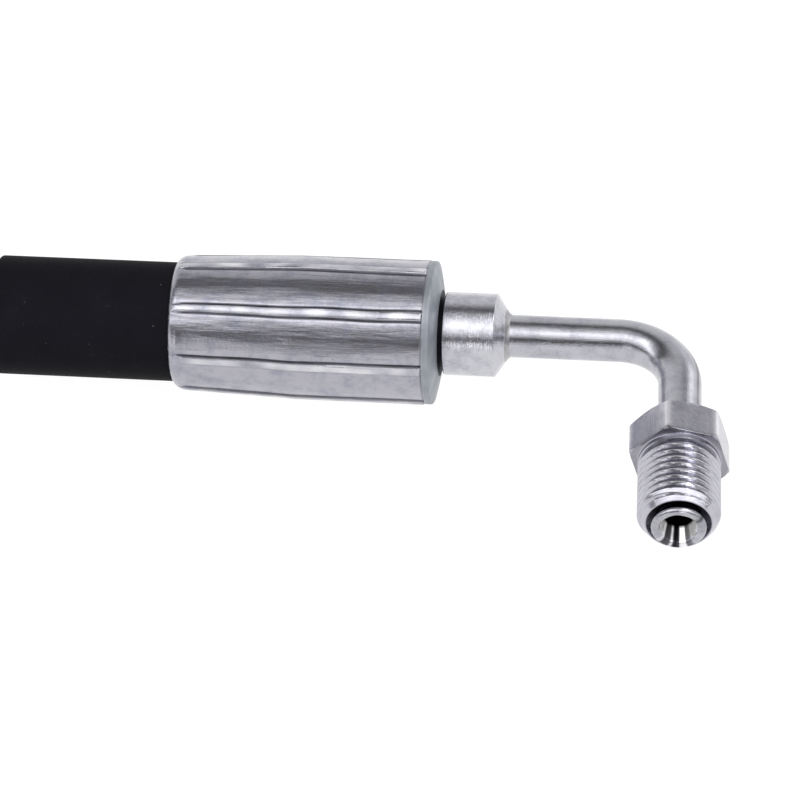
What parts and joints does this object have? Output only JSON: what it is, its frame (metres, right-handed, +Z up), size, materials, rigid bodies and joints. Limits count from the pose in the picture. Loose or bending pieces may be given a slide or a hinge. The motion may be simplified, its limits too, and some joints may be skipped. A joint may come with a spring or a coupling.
{
  "type": "hydraulic hose assembly",
  "caption": "Rubber hydraulic hose in a crimped ferrule, with a brazed bent tube, a flared end and a threaded tube nut.",
  "frame": {"origin": "centre of the square-cut hose face, on the hose axis", "axes": "+X along the hose towards the fitting; the tube's leg and nut point towards -Y; +Z up"},
  "size_m": [0.111, 0.0492, 0.0218],
  "materials": {
    "cover_rubber": "matte",
    "inner_rubber": "matte",
    "wire_braid": "brass-coated wire, satin",
    "ferrule_zinc": "zinc plated, scuffed",
    "stem_zinc": "turned, zinc plated",
    "braze": "plated over, satin",
    "tube_zinc": "zinc plated, bright",
    "nut_zinc": "zinc plated, bright"
  },
  "bodies": {
    "fitting": {"ferrule": "ferrule_zinc", "stem": "stem_zinc", "braze_ring": "braze", "bent_tube": "tube_zinc", "inner_tube_end": "inner_rubber", "inner_braid_end": "wire_braid", "friction_layer_end": "inner_rubber", "outer_braid_end": "wire_braid", "hose_cover_end": "cover_rubber"},
    "hose_middle": {"inner_tube_middle": "inner_rubber", "inner_braid_middle": "wire_braid", "friction_layer_middle": "inner_rubber", "outer_braid_middle": "wire_braid", "hose_cover_middle": "cover_rubber"},
    "hose_free": {"inner_tube_free": "inner_rubber", "inner_braid_free": "wire_braid", "friction_layer_free": "inner_rubber", "outer_braid_free": "wire_braid", "hose_cover_free": "cover_rubber"},
    "tube_nut": {"tube_nut": "nut_zinc"}
  },
  "joints": [
    {"name": "hose_bend_sideways", "type": "hinge", "parent": "fitting", "child": "hose_middle", "pos_m": [0.02296, 0, 0], "axis": [0, 0, 1], "range_deg": [-8, 8]},
    {"name": "hose_bend_upwards", "type": "hinge", "parent": "hose_middle", "child": "hose_free", "pos_m": [0.01081, 0, 0], "axis": [0, 1, 0], "range_deg": [-8, 8]},
    {"name": "nut_spin", "type": "hinge", "parent": "fitting", "child": "tube_nut", "pos_m": [0.10397, -0.02796, 0], "axis": [0.0523, -0.9986, 0], "continuous": true}
  ]
}
